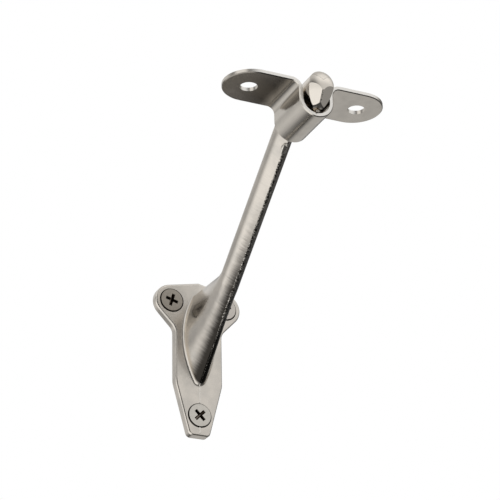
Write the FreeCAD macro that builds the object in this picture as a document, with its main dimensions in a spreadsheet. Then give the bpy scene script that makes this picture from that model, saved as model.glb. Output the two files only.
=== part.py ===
import FreeCAD, Part
import math
import os
import Sketcher

# Handrail bracket: one die-cast wall bracket, one stamped rail saddle and three wall screws.
# Frame: +Z up, +X along the rail, -Y out from the wall. The origin is the middle of the wall face.

SIZES = {
    # wall plate
    "plate_height": 57.4,        # bottom edge to the peak of the top edge
    "plate_thickness": 3.3,      # on the centre line
    "face_draft": 2.0,           # fall of each half of the front face, degrees
    "waist_width": 17.8,         # across the straight sides
    "waist_rise": 37.5,          # bottom edge to the top of the straight sides
    "waist_radius": 4.0,
    "knee_rise": 20.4,           # bottom edge to the foot of the straight sides
    "knee_radius": 8.0,
    "foot_flat": 4.8,            # straight part of the bottom edge
    "foot_radius": 1.8,
    "lobe_radius": 6.0,
    "edge_round": 0.7,           # front edge of the plate
    # screw holes in the plate
    "screw_spacing": 20.5,       # between the two upper holes
    "screw_rise": 41.8,          # lower hole to the line of the upper holes
    "lower_inset": 7.5,          # bottom edge to the lower hole
    "screw_hole": 4.8,
    "sink_width": 8.6,           # countersink at the front face
    "sink_angle": 82.0,
    # arm
    "arm_slope": 38.5,           # keel line above the horizontal, degrees
    "keel_start": 16.9,          # bottom edge to the keel line, at the wall face
    "keel_width": 1.0,           # across the narrow round of the keel
    "arm_width": 7.0,
    "arm_depth": 11.2,           # keel to crown, measured upright
    "root_width": 11.6,          # widest part of the root, at the plate
    "root_middle": 36.2,         # bottom edge to that widest part
    "root_round": 1.0,           # fillet where the root meets the plate
    "root_keel": 3.9,            # across the rounded keel at the plate
    "web_top": 51.9,             # bottom edge to the level top of the root web
    "web_width": 4.0,            # across that level top, at the plate
    "elbow_round": 2.2,          # half the length of the bend at the end of the arm
    # stub that carries the saddle
    "stub_width": 8.7,
    "stub_depth": 12.8,          # keel to crown
    "nose_overhang": 6.2,        # stub tip beyond the saddle
    "nose_radius": 8.2,          # spherical nose
    "prow_lean": 25.0,           # stem under the nose, degrees from upright
    "prow_angle": 62.0,          # each prow face from the middle plane, degrees
    "prow_rise": 9.0,            # keel of the stub to where the stem meets the nose
    "prow_setback": 0.15,        # the stem there, behind the nose
    # saddle
    "reach": 85.4,               # front of the plate to the middle of the saddle
    "ear_rise": 88.1,            # bottom edge of the plate to the underside of the ears
    "strap_width": 19.05,
    "strap_stock": 1.3,
    "saddle_length": 56.6,
    "channel_play": 0.9,         # channel's inner width less the stub's width
    "channel_drop": 11.6,        # underside of the ears to the underside of the channel
    "fold_radius": 2.6,          # outer side of the fold between channel and ear
    "edge_break": 0.28,          # along the strap's outer edges, where it was sheared
    "rail_hole": 5.8,
    "rail_hole_spacing": 39.2,
    "seat_gap": 0.3,             # ends of the stub's keel round above the channel
    # wall screws
    "head_width": 8.1,
    "head_rim": 0.5,
    "shank_width": 4.2,
    "core_width": 3.1,           # under the thread
    "shank_length": 10.0,        # plain part, head included
    "screw_length": 32.0,
    "point_length": 4.0,
    "recess_span": 4.7,
    "recess_slot": 1.2,
    "recess_depth": 2.0,
}

doc = FreeCAD.newDocument("handrail_bracket")
sheet = doc.addObject("Spreadsheet::Sheet", "Sizes")
for row, (alias, value) in enumerate(SIZES.items(), start=1):
    sheet.set(f"A{row}", str(value))
    sheet.setAlias(f"A{row}", alias)
doc.recompute()


def size(alias):
    """A driving size, read back from the sheet."""
    return float(sheet.get(alias))


def tangent_of(degrees):
    return math.tan(math.radians(degrees))


def plane_of(body, role):
    return next(item for item in body.Origin.OriginFeatures if item.Role == role)


def new_body(name):
    body = doc.addObject("PartDesign::Body", name)
    body.Label = name
    return body


def new_sketch(body, name, role, offset="0", rise="0"):
    """An empty sketch on an origin plane, moved out along its normal and up along its own Y."""
    sketch = body.newObject("Sketcher::SketchObject", name)
    sketch.AttachmentSupport = [(plane_of(body, role), "")]
    sketch.MapMode = "FlatFace"
    sketch.setExpression("AttachmentOffset.Base.z", offset)
    sketch.setExpression("AttachmentOffset.Base.y", rise)
    return sketch


def vector(x, y):
    return FreeCAD.Vector(x, y, 0)


def add_line(sketch, start, end):
    return sketch.addGeometry(Part.LineSegment(vector(*start), vector(*end)), False)


def add_arc(sketch, centre, start, end):
    """Counter-clockwise arc from start to end about centre."""
    radius = math.hypot(start[0] - centre[0], start[1] - centre[1])
    first = math.atan2(start[1] - centre[1], start[0] - centre[0])
    last = math.atan2(end[1] - centre[1], end[0] - centre[0])
    circle = Part.Circle(vector(*centre), FreeCAD.Vector(0, 0, 1), radius)
    return sketch.addGeometry(Part.ArcOfCircle(circle, first, last), False)


def add_circle(sketch, centre, radius):
    circle = Part.Circle(vector(*centre), FreeCAD.Vector(0, 0, 1), radius)
    return sketch.addGeometry(circle, False)


def add_loop(sketch, corners):
    """A closed loop of straight lines."""
    lines = []
    for number, corner in enumerate(corners):
        lines.append(add_line(sketch, corner, corners[(number + 1) % len(corners)]))
    for number, line in enumerate(lines):
        rule(sketch, "Coincident", line, END, lines[(number + 1) % len(lines)], START)
    return lines


def rule(sketch, *terms):
    return sketch.addConstraint(Sketcher.Constraint(*terms))


def bind(sketch, kind, terms, value, expression):
    """A dimension whose value comes from the sheet."""
    index = rule(sketch, kind, *terms, value)
    sketch.setExpression(f"Constraints[{index}]", expression)


START, END, CENTRE = 1, 2, 3
ORIGIN = (-1, 1)
H_AXIS = -1
V_AXIS = -2


def touching_line(first, first_radius, second, second_radius, turn):
    """Ends of the line that touches two circles.

    A radius is negative for a circle on the solid side of the line and zero for a point.
    turn is +1 where the outward side lies left of the way from first to second, else -1.
    """
    across = second[0] - first[0]
    along = second[1] - first[1]
    swing = math.acos((second_radius - first_radius) / math.hypot(across, along))
    angle = math.atan2(along, across) + turn * swing
    outward = (math.cos(angle), math.sin(angle))
    return tuple(
        (centre[0] - radius * outward[0], centre[1] - radius * outward[1])
        for centre, radius in ((first, first_radius), (second, second_radius))
    )


# ---- wall bracket: plate -------------------------------------------------------------------

FLOOR_LINE = "-Sizes.plate_height / 2"
LOWER_SCREW = "-Sizes.plate_height / 2 + Sizes.lower_inset"
UPPER_SCREW = "-Sizes.plate_height / 2 + Sizes.lower_inset + Sizes.screw_rise"


def plate_outline(body):
    """The right half of the plate: peak, lobe, waist, straight side, knee and foot."""
    bottom = -size("plate_height") / 2
    side = size("waist_width") / 2
    lobe_radius = size("lobe_radius")
    waist_radius = size("waist_radius")
    knee_radius = size("knee_radius")
    foot_radius = size("foot_radius")
    peak = (0, -bottom)
    lobe = (size("screw_spacing") / 2, bottom + size("lower_inset") + size("screw_rise"))
    waist = (side + waist_radius, bottom + size("waist_rise"))
    knee = (side - knee_radius, bottom + size("knee_rise"))
    foot = (size("foot_flat") / 2, bottom + foot_radius)
    top_line = touching_line(peak, 0, lobe, -lobe_radius, 1)
    shoulder_line = touching_line(lobe, -lobe_radius, waist, waist_radius, 1)
    taper_line = touching_line(knee, -knee_radius, foot, -foot_radius, 1)

    sketch = new_sketch(body, "plate_outline", "XZ_Plane")
    top = add_line(sketch, *top_line)
    lobe_arc = add_arc(sketch, lobe, shoulder_line[0], top_line[1])
    shoulder = add_line(sketch, *shoulder_line)
    waist_arc = add_arc(sketch, waist, shoulder_line[1], (side, waist[1]))
    straight = add_line(sketch, (side, waist[1]), (side, knee[1]))
    knee_arc = add_arc(sketch, knee, taper_line[0], (side, knee[1]))
    taper = add_line(sketch, *taper_line)
    foot_arc = add_arc(sketch, foot, (foot[0], bottom), taper_line[1])
    floor = add_line(sketch, (foot[0], bottom), (0, bottom))
    middle = add_line(sketch, (0, bottom), peak)

    rule(sketch, "Tangent", top, END, lobe_arc, END)
    rule(sketch, "Tangent", lobe_arc, START, shoulder, START)
    rule(sketch, "Tangent", shoulder, END, waist_arc, START)
    rule(sketch, "Tangent", waist_arc, END, straight, START)
    rule(sketch, "Tangent", straight, END, knee_arc, END)
    rule(sketch, "Tangent", knee_arc, START, taper, START)
    rule(sketch, "Tangent", taper, END, foot_arc, END)
    rule(sketch, "Tangent", foot_arc, START, floor, START)
    rule(sketch, "Coincident", floor, END, middle, START)
    rule(sketch, "Coincident", middle, END, top, START)
    rule(sketch, "PointOnObject", floor, END, V_AXIS)
    rule(sketch, "PointOnObject", top, START, V_AXIS)
    rule(sketch, "Vertical", straight)
    rule(sketch, "Horizontal", floor)
    bind(sketch, "Radius", (lobe_arc,), lobe_radius, "Sizes.lobe_radius")
    bind(sketch, "Radius", (waist_arc,), waist_radius, "Sizes.waist_radius")
    bind(sketch, "Radius", (knee_arc,), knee_radius, "Sizes.knee_radius")
    bind(sketch, "Radius", (foot_arc,), foot_radius, "Sizes.foot_radius")
    bind(sketch, "DistanceX", (*ORIGIN, lobe_arc, CENTRE), lobe[0], "Sizes.screw_spacing / 2")
    bind(sketch, "DistanceY", (*ORIGIN, lobe_arc, CENTRE), lobe[1], UPPER_SCREW)
    bind(sketch, "DistanceX", (*ORIGIN, straight, START), side, "Sizes.waist_width / 2")
    bind(sketch, "DistanceY", (*ORIGIN, straight, START), waist[1], f"{FLOOR_LINE} + Sizes.waist_rise")
    bind(sketch, "DistanceY", (*ORIGIN, straight, END), knee[1], f"{FLOOR_LINE} + Sizes.knee_rise")
    bind(sketch, "DistanceX", (*ORIGIN, floor, START), foot[0], "Sizes.foot_flat / 2")
    bind(sketch, "DistanceY", (*ORIGIN, floor, START), bottom, FLOOR_LINE)
    bind(sketch, "DistanceY", (*ORIGIN, top, START), -bottom, "Sizes.plate_height / 2")
    return sketch


def face_fall(body):
    """The wedge that slopes the front face back from the centre line."""
    depth = size("plate_thickness")
    reach = size("screw_spacing")
    fall = reach * tangent_of(size("face_draft"))
    sketch = new_sketch(body, "face_fall", "XY_Plane")
    corners = ((0, -depth), (reach, -depth + fall), (reach, -depth - fall), (0, -depth - fall))
    face, side, front, middle = add_loop(sketch, corners)
    rule(sketch, "Vertical", side)
    rule(sketch, "Vertical", middle)
    rule(sketch, "Horizontal", front)
    rule(sketch, "PointOnObject", face, START, V_AXIS)
    bind(sketch, "DistanceY", (*ORIGIN, face, START), -depth, "-Sizes.plate_thickness")
    bind(sketch, "DistanceX", (*ORIGIN, side, START), reach, "Sizes.screw_spacing")
    drop = "Sizes.screw_spacing * tan(Sizes.face_draft)"
    bind(sketch, "DistanceY", (face, START, face, END), fall, drop)
    bind(sketch, "DistanceY", (front, END, face, START), fall, drop)
    return sketch


def pad(body, name, sketch, length, midplane=False):
    feature = body.newObject("PartDesign::Pad", name)
    feature.Profile = sketch
    feature.setExpression("Length", length)
    feature.Midplane = midplane
    body.Tip = feature
    doc.recompute()
    return feature


def mirror(body, name, sketch):
    """The whole shape so far, repeated on the other side of the sketch's upright axis."""
    feature = body.newObject("PartDesign::Mirrored", name)
    feature.TransformMode = "Whole shape"
    feature.MirrorPlane = (sketch, ["V_Axis"])
    body.Tip = feature
    doc.recompute()
    return feature


def cut_through(body, name, sketch):
    """A pocket through everything, both ways from its sketch."""
    before = body.Shape.Volume
    feature = body.newObject("PartDesign::Pocket", name)
    feature.Profile = sketch
    feature.Type = "ThroughAll"
    feature.Midplane = True
    body.Tip = feature
    doc.recompute()
    assert body.Shape.Volume < before, name
    return feature


def turned(body, kind, name, sketch, axis):
    """A full turn of a sketch about one of its own axes, added or cut."""
    feature = body.newObject(kind, name)
    feature.Profile = sketch
    feature.ReferenceAxis = (sketch, [axis])
    feature.Angle = 360
    body.Tip = feature
    doc.recompute()
    return feature


def eased(body, kind, name, edges, setting, length):
    """A fillet or chamfer of the shape so far."""
    base = body.Tip
    feature = body.newObject(kind, name)
    feature.Base = (base, edges)
    feature.setExpression(setting, length)
    body.Tip = feature
    doc.recompute()
    return feature


def rounded(body, name, edges, radius):
    return eased(body, "PartDesign::Fillet", name, edges, "Radius", radius)


NEAR = 0.02  # how close a point lies to a face that it is on


def front_height(point):
    """How far a point lies in front of the sloped face of the plate."""
    face = size("plate_thickness") - abs(point.x) * tangent_of(size("face_draft"))
    return -point.y - face


def front_edges(shape, low, high):
    """Edges on the sloped face that reach below high and stay above low, but not its ridge."""
    names = []
    for number, edge in enumerate(shape.Edges, start=1):
        if edge.Length < NEAR:
            continue
        points = edge.discretize(7)
        on_face = all(abs(front_height(point)) < NEAR for point in points)
        ridge = all(abs(point.x) < NEAR for point in points)
        heights = [point.z for point in points]
        if on_face and not ridge and min(heights) > low and min(heights) < high:
            names.append(f"Edge{number}")
    return names


bracket = new_body("wall_bracket")
outline = plate_outline(bracket)
pad(bracket, "half_plate", outline, "Sizes.plate_thickness")
cut_through(bracket, "sloped_face", face_fall(bracket))
half_height = size("plate_height") / 2
rim_edges = front_edges(bracket.Shape, -half_height - NEAR, half_height)
rounded(bracket, "rounded_face", rim_edges, "Sizes.edge_round")
mirror(bracket, "plate", outline)


# ---- wall bracket: arm ---------------------------------------------------------------------
# Each section is upright and parallel to the wall. It has a narrow round keel, and on each side a
# long flank arc and a tighter side arc, which meet at the widest point, and then a level crown.

STUB_KEEL = (
    f"{FLOOR_LINE} + Sizes.ear_rise - Sizes.channel_drop + Sizes.strap_stock + Sizes.seat_gap"
)
CORNER = f"(({STUB_KEEL}) - ({FLOOR_LINE}) - Sizes.keel_start) / tan(Sizes.arm_slope)"
WEB_END = "(Sizes.web_top - Sizes.keel_start - Sizes.arm_depth) / tan(Sizes.arm_slope)"
SADDLE_FRONT = "Sizes.plate_thickness + Sizes.reach + Sizes.strap_width / 2"
STUB_AXIS = f"{STUB_KEEL} + Sizes.stub_depth - Sizes.stub_width / 2"
NOSE_CUT = 0.995  # height of the nose's cut as a share of its radius
NOSE_TRIM = 1  # the stub is drawn this much long, mm, and the turned nose trims it back
NOSE_TIP = f"{SADDLE_FRONT} + Sizes.nose_overhang - {NOSE_TRIM}"
ROOT_SHARES = (-0.09, 0.3, 0.65, 1)  # the first lies inside the plate
CROWN_SHARE = 0.12  # crown width as a share of a round section's width


def value_of(expression):
    """The plain number that a sheet expression gives."""
    probe = doc.getObject("Sizes")
    return float(probe.evalExpression(expression))


def arc_centre(widest, edge):
    """Centre, level with the widest point, of the arc from there to an edge."""
    inset = widest[0] - edge[0]
    radius = (inset**2 + (edge[1] - widest[1]) ** 2) / (2 * inset)
    return (widest[0] - radius, widest[1])


def flip(point):
    return (-point[0], point[1])


def keel_centre(flank_centre, edge):
    """Centre, on the middle plane, of the arc that carries a flank on round the keel."""
    share = edge[0] / (edge[0] - flank_centre[0])
    return (0, edge[1] + share * (flank_centre[1] - edge[1]))


def arm_section(body, name, station, keel_width, keel, width, middle, crown_width, crown):
    """One section of the arm, at a distance from the wall. All sizes are expressions."""
    sizes = (keel_width, keel, width, middle, crown_width, crown)
    keel_span, keel_rise, span, middle_rise, crown_span, crown_rise = map(value_of, sizes)
    keel_edge = (keel_span / 2, keel_rise)
    widest = (span / 2, middle_rise)
    crown_edge = (crown_span / 2, crown_rise)
    flank_centre = arc_centre(widest, keel_edge)
    side_centre = arc_centre(widest, crown_edge)

    sketch = new_sketch(body, name, "XZ_Plane", station)
    foot = add_arc(sketch, keel_centre(flank_centre, keel_edge), flip(keel_edge), keel_edge)
    flank = add_arc(sketch, flank_centre, keel_edge, widest)
    side = add_arc(sketch, side_centre, widest, crown_edge)
    top = add_line(sketch, crown_edge, flip(crown_edge))
    far_side = add_arc(sketch, flip(side_centre), flip(crown_edge), flip(widest))
    far_flank = add_arc(sketch, flip(flank_centre), flip(widest), flip(keel_edge))
    rule(sketch, "Tangent", foot, END, flank, START)
    edges = (flank, side, top, far_side, far_flank, foot)
    for edge, following in zip(edges, edges[1:]):
        rule(sketch, "Coincident", edge, END, following, START)
    rule(sketch, "Symmetric", foot, START, foot, END, V_AXIS)
    rule(sketch, "PointOnObject", foot, CENTRE, V_AXIS)
    rule(sketch, "Symmetric", top, START, top, END, V_AXIS)
    rule(sketch, "Symmetric", side, START, far_flank, START, V_AXIS)
    for arc, point in ((flank, END), (side, START), (far_side, END), (far_flank, START)):
        rule(sketch, "Horizontal", arc, CENTRE, arc, point)
    bind(sketch, "DistanceX", (foot, START, foot, END), keel_span, keel_width)
    bind(sketch, "DistanceY", (*ORIGIN, foot, END), keel_rise, keel)
    bind(sketch, "DistanceX", (far_flank, START, side, START), span, width)
    bind(sketch, "DistanceY", (*ORIGIN, side, START), middle_rise, middle)
    bind(sketch, "DistanceX", (top, END, top, START), crown_span, crown_width)
    bind(sketch, "DistanceY", (*ORIGIN, top, START), crown_rise, crown)
    return sketch


def keel_line(station):
    return f"{FLOOR_LINE} + Sizes.keel_start + ({station}) * tan(Sizes.arm_slope)"


def loft(body, name, sections, ruled):
    feature = body.newObject("PartDesign::AdditiveLoft", name)
    feature.Profile = sections[0]
    feature.Sections = sections[1:]
    feature.Ruled = ruled
    body.Tip = feature
    doc.recompute()
    return feature


def root_section(body, share):
    """A section of the root: 0 at the front of the plate and 1 where the web runs out."""
    station = f"Sizes.plate_thickness + {share} * ({WEB_END} - Sizes.plate_thickness)"
    left = 1 - share
    widening = f"{left * left:.4f} * (Sizes.root_width - Sizes.arm_width)"
    arm_middle = "Sizes.web_top - Sizes.arm_width / 2"
    return arm_section(
        body,
        f"root_section_{ROOT_SHARES.index(share)}",
        station,
        f"{left} * Sizes.root_keel + {share} * Sizes.keel_width",
        keel_line(station),
        f"Sizes.arm_width + {widening}",
        f"{FLOOR_LINE} + {left} * Sizes.root_middle + {share} * ({arm_middle})",
        f"{left} * Sizes.web_width + {share * CROWN_SHARE} * Sizes.arm_width",
        f"{FLOOR_LINE} + Sizes.web_top",
    )


def bend_section(body, share):
    """A section of the bend: 0 at the end of the straight arm and 1 at the start of the stub."""
    run = f"{2 * share} * Sizes.elbow_round"
    station = f"{CORNER} - Sizes.elbow_round + {run}"
    climb = f"({run} - {share * share} * Sizes.elbow_round) * tan(Sizes.arm_slope)"
    keel = f"{keel_line(f'{CORNER} - Sizes.elbow_round')} + {climb}"
    width = f"({1 - share} * Sizes.arm_width + {share} * Sizes.stub_width)"
    crown = f"{keel} + {1 - share} * Sizes.arm_depth + {share} * Sizes.stub_depth"
    return arm_section(
        body,
        f"bend_section_{round(share * 100)}",
        station,
        "Sizes.keel_width",
        keel,
        width,
        f"{crown} - {width} / 2",
        f"{CROWN_SHARE} * {width}",
        crown,
    )


def stub_section(body):
    """The section at the tip of the stub, beyond its rounded nose."""
    crown = f"{STUB_KEEL} + Sizes.stub_depth"
    return arm_section(
        body,
        "stub_section",
        f"{SADDLE_FRONT} + Sizes.nose_overhang",
        "Sizes.keel_width",
        STUB_KEEL,
        "Sizes.stub_width",
        f"{crown} - Sizes.stub_width / 2",
        f"{CROWN_SHARE} * Sizes.stub_width",
        crown,
    )


def nose_outline(body):
    """What the round nose leaves out, drawn on the middle plane and turned about the stub."""
    radius = size("nose_radius")
    tip_reach = value_of(NOSE_TIP)
    outer = radius * NOSE_CUT
    half = math.asin(NOSE_CUT)
    centre = (radius - tip_reach, 0)
    rim = (centre[0] - radius * math.cos(half), outer)
    beyond = -tip_reach - radius
    sketch = new_sketch(body, "nose_outline", "YZ_Plane", rise=STUB_AXIS)
    dome = add_arc(sketch, centre, rim, (-tip_reach, 0))
    corners = ((-tip_reach, 0), (beyond, 0), (beyond, outer), rim)
    axis_line = add_line(sketch, corners[0], corners[1])
    front = add_line(sketch, corners[1], corners[2])
    top = add_line(sketch, corners[2], corners[3])
    rule(sketch, "Coincident", dome, END, axis_line, START)
    rule(sketch, "Coincident", axis_line, END, front, START)
    rule(sketch, "Coincident", front, END, top, START)
    rule(sketch, "Coincident", top, END, dome, START)
    rule(sketch, "PointOnObject", dome, CENTRE, H_AXIS)
    rule(sketch, "PointOnObject", axis_line, START, H_AXIS)
    rule(sketch, "PointOnObject", axis_line, END, H_AXIS)
    rule(sketch, "Vertical", front)
    rule(sketch, "Horizontal", top)
    bind(sketch, "Radius", (dome,), radius, "Sizes.nose_radius")
    reach = f"-({NOSE_TIP})"
    bind(sketch, "DistanceX", (*ORIGIN, axis_line, START), -tip_reach, reach)
    bind(sketch, "DistanceX", (*ORIGIN, front, START), beyond, f"{reach} - Sizes.nose_radius")
    bind(sketch, "DistanceY", (*ORIGIN, top, START), outer, f"{NOSE_CUT} * Sizes.nose_radius")
    return sketch


def prow_outline(body):
    """What the prow leaves out ahead of its two faces, seen along its leaning stem."""
    half = size("stub_width")
    back = half / tangent_of(size("prow_angle"))
    ahead = size("nose_overhang")
    sketch = new_sketch(body, "prow_outline", "XY_Plane")
    lean = FreeCAD.Rotation(FreeCAD.Vector(1, 0, 0), size("prow_lean"))
    sketch.AttachmentOffset = FreeCAD.Placement(FreeCAD.Vector(), lean)
    sketch.setExpression("AttachmentOffset.Rotation.Angle", "Sizes.prow_lean")
    sketch.setExpression("AttachmentOffset.Base.y", f"-({NOSE_TIP} - Sizes.prow_setback)")
    sketch.setExpression("AttachmentOffset.Base.z", f"{STUB_KEEL} + Sizes.prow_rise")
    corners = ((0, 0), (-half, back), (-half, -ahead), (half, -ahead), (half, back))
    lines = add_loop(sketch, corners)
    left_face, left, front, right, right_face = lines
    rule(sketch, "Coincident", left_face, START, *ORIGIN)
    rule(sketch, "Vertical", left)
    rule(sketch, "Vertical", right)
    rule(sketch, "Horizontal", front)
    rule(sketch, "Symmetric", left_face, END, right_face, START, V_AXIS)
    bind(sketch, "DistanceX", (*ORIGIN, right_face, START), half, "Sizes.stub_width")
    reach = "Sizes.stub_width / tan(Sizes.prow_angle)"
    bind(sketch, "DistanceY", (*ORIGIN, right_face, START), back, reach)
    bind(sketch, "DistanceY", (front, END, *ORIGIN), ahead, "Sizes.nose_overhang")
    return sketch


BEND_SHARES = (0, 0.35, 0.7, 1)
roots = [root_section(bracket, share) for share in ROOT_SHARES]
bends = [bend_section(bracket, share) for share in BEND_SHARES]
tip = stub_section(bracket)
doc.recompute()
loft(bracket, "root", roots, ruled=False)
loft(bracket, "arm", [roots[-1], bends[0]], ruled=True)
loft(bracket, "bend", bends, ruled=False)
loft(bracket, "stub", [bends[-1], tip], ruled=True)
turned(bracket, "PartDesign::Groove", "nose", nose_outline(bracket), "H_Axis")
cut_through(bracket, "prow", prow_outline(bracket))
web_top = value_of(f"{FLOOR_LINE} + Sizes.web_top")
root_foot = value_of(f"{FLOOR_LINE} + Sizes.keel_start - Sizes.root_keel")
root_edges = front_edges(bracket.Shape, root_foot, web_top - NEAR)
rounded(bracket, "root_round", root_edges, "Sizes.root_round")


# ---- wall bracket: screw holes -------------------------------------------------------------

SCREWS = {
    "left": ("-Sizes.screw_spacing / 2", UPPER_SCREW),
    "right": ("Sizes.screw_spacing / 2", UPPER_SCREW),
    "lower": ("0", LOWER_SCREW),
}


def screw_face(across):
    """Distance from the wall to the sloped face at a hole, as an expression."""
    return f"Sizes.plate_thickness - abs({across}) * tan(Sizes.face_draft)"


def screw_hole(body, label):
    """A clearance hole with a countersink, turned about its own axis."""
    across, rise = SCREWS[label]
    hole = size("screw_hole") / 2
    mouth = size("sink_width") / 2
    face = value_of(screw_face(across))
    depth = (mouth - hole) / tangent_of(size("sink_angle") / 2)
    margin = size("plate_thickness") / 2
    sketch = body.newObject("Sketcher::SketchObject", f"{label}_hole_outline")
    sketch.AttachmentSupport = [(plane_of(body, "YZ_Plane"), "")]
    sketch.MapMode = "FlatFace"
    sketch.setExpression("AttachmentOffset.Base.z", across)
    sketch.setExpression("AttachmentOffset.Base.y", rise)
    corners = (
        (margin, 0),
        (margin, hole),
        (-face + depth, hole),
        (-face, mouth),
        (-face - margin, mouth),
        (-face - margin, 0),
    )
    back, wall, sink, lip, front, axis_line = add_loop(sketch, corners)
    for line in (back, front):
        rule(sketch, "Vertical", line)
    for line in (wall, lip):
        rule(sketch, "Horizontal", line)
    for point in ((axis_line, START), (axis_line, END)):
        rule(sketch, "PointOnObject", *point, H_AXIS)
    bind(sketch, "DistanceY", (*ORIGIN, wall, START), hole, "Sizes.screw_hole / 2")
    bind(sketch, "DistanceY", (*ORIGIN, lip, START), mouth, "Sizes.sink_width / 2")
    bind(sketch, "DistanceX", (*ORIGIN, lip, START), -face, f"-({screw_face(across)})")
    bind(sketch, "DistanceX", (*ORIGIN, back, START), margin, "Sizes.plate_thickness / 2")
    bind(sketch, "DistanceX", (lip, END, lip, START), margin, "Sizes.plate_thickness / 2")
    sink_depth = "(Sizes.sink_width - Sizes.screw_hole) / 2 / tan(Sizes.sink_angle / 2)"
    bind(sketch, "DistanceX", (sink, END, sink, START), depth, sink_depth)
    before = body.Shape.Volume
    turned(body, "PartDesign::Groove", f"{label}_hole", sketch, "H_Axis")
    assert body.Shape.Volume < before, label


for label in SCREWS:
    screw_hole(bracket, label)


# ---- rail saddle ---------------------------------------------------------------------------

EAR_UNDERSIDE = f"{FLOOR_LINE} + Sizes.ear_rise"
SADDLE_REACH = "Sizes.plate_thickness + Sizes.reach"
CHANNEL_RADIUS = "(Sizes.stub_width + Sizes.channel_play) / 2"


def strip_outline(body):
    """The right half of the bent strip, seen along the channel."""
    stock = size("strap_stock")
    bore = value_of(CHANNEL_RADIUS)
    outer = bore + stock
    fold = size("fold_radius")
    ear = value_of(EAR_UNDERSIDE)
    centre = (0, ear - size("channel_drop") + outer)
    bend = (outer + fold, ear - fold)
    end = size("saddle_length") / 2
    floor_outer = (0, centre[1] - outer)
    floor_inner = (0, centre[1] - bore)
    sketch = new_sketch(body, "strip_outline", "XZ_Plane", SADDLE_REACH)
    outer_arc = add_arc(sketch, centre, floor_outer, (outer, centre[1]))
    outer_wall = add_line(sketch, (outer, centre[1]), (outer, bend[1]))
    outer_fold = add_arc(sketch, bend, (bend[0], ear), (outer, bend[1]))
    underside = add_line(sketch, (bend[0], ear), (end, ear))
    ear_end = add_line(sketch, (end, ear), (end, ear + stock))
    ear_top = add_line(sketch, (end, ear + stock), (bend[0], ear + stock))
    inner_fold = add_arc(sketch, bend, (bend[0], ear + stock), (bore, bend[1]))
    inner_wall = add_line(sketch, (bore, bend[1]), (bore, centre[1]))
    inner_arc = add_arc(sketch, centre, floor_inner, (bore, centre[1]))
    middle = add_line(sketch, floor_inner, floor_outer)
    rule(sketch, "Tangent", outer_arc, END, outer_wall, START)
    rule(sketch, "Tangent", outer_wall, END, outer_fold, END)
    rule(sketch, "Tangent", outer_fold, START, underside, START)
    rule(sketch, "Coincident", underside, END, ear_end, START)
    rule(sketch, "Coincident", ear_end, END, ear_top, START)
    rule(sketch, "Tangent", ear_top, END, inner_fold, START)
    rule(sketch, "Tangent", inner_fold, END, inner_wall, START)
    rule(sketch, "Tangent", inner_wall, END, inner_arc, END)
    rule(sketch, "Coincident", inner_arc, START, middle, START)
    rule(sketch, "Coincident", middle, END, outer_arc, START)
    rule(sketch, "PointOnObject", middle, START, V_AXIS)
    rule(sketch, "Vertical", outer_wall)
    rule(sketch, "Vertical", inner_wall)
    rule(sketch, "Horizontal", ear_top)
    rule(sketch, "Vertical", ear_end)
    rule(sketch, "Vertical", middle)
    rule(sketch, "Horizontal", underside)
    rule(sketch, "PointOnObject", outer_arc, CENTRE, V_AXIS)
    rule(sketch, "Coincident", inner_arc, CENTRE, outer_arc, CENTRE)
    rule(sketch, "Coincident", inner_fold, CENTRE, outer_fold, CENTRE)
    bind(sketch, "Radius", (inner_arc,), bore, CHANNEL_RADIUS)
    bind(sketch, "Radius", (outer_arc,), outer, f"{CHANNEL_RADIUS} + Sizes.strap_stock")
    bind(sketch, "Radius", (outer_fold,), fold, "Sizes.fold_radius")
    bind(sketch, "DistanceX", (*ORIGIN, ear_end, START), end, "Sizes.saddle_length / 2")
    bind(sketch, "DistanceY", (*ORIGIN, ear_end, START), ear, EAR_UNDERSIDE)
    drop = f"{EAR_UNDERSIDE} - Sizes.channel_drop"
    bind(sketch, "DistanceY", (*ORIGIN, middle, END), floor_outer[1], drop)
    return sketch


def ear_trim(body):
    """Everything outside the strip's round-ended plan, with the two rail holes."""
    end = size("saddle_length") / 2
    half = size("strap_width") / 2
    margin = half / 2
    sketch = new_sketch(body, "ear_trim", "XY_Plane", rise=f"-({SADDLE_REACH})")
    right = (end - half, 0)
    arc_right = add_arc(sketch, right, (right[0], -half), (right[0], half))
    back = add_line(sketch, (right[0], half), (-right[0], half))
    arc_left = add_arc(sketch, flip(right), (-right[0], half), (-right[0], -half))
    front = add_line(sketch, (-right[0], -half), (right[0], -half))
    rule(sketch, "Tangent", arc_right, END, back, START)
    rule(sketch, "Tangent", back, END, arc_left, START)
    rule(sketch, "Tangent", arc_left, END, front, START)
    rule(sketch, "Tangent", front, END, arc_right, START)
    rule(sketch, "PointOnObject", arc_right, CENTRE, H_AXIS)
    rule(sketch, "Symmetric", arc_right, CENTRE, arc_left, CENTRE, *ORIGIN)
    rule(sketch, "Horizontal", back)
    bind(sketch, "Radius", (arc_right,), half, "Sizes.strap_width / 2")
    arc_reach = "(Sizes.saddle_length - Sizes.strap_width) / 2"
    bind(sketch, "DistanceX", (*ORIGIN, arc_right, CENTRE), right[0], arc_reach)
    frame = ((-end - margin, -half - margin), (end + margin, -half - margin))
    frame += ((end + margin, half + margin), (-end - margin, half + margin))
    lines = add_loop(sketch, frame)
    for number, line in enumerate(lines):
        rule(sketch, "Vertical" if number % 2 else "Horizontal", line)
    rule(sketch, "Symmetric", lines[0], START, lines[2], START, *ORIGIN)
    frame_reach = "Sizes.saddle_length / 2 + Sizes.strap_width / 4"
    bind(sketch, "DistanceX", (*ORIGIN, lines[2], START), end + margin, frame_reach)
    bind(sketch, "DistanceY", (*ORIGIN, lines[2], START), half + margin, "Sizes.strap_width * 3 / 4")
    return sketch


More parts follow.
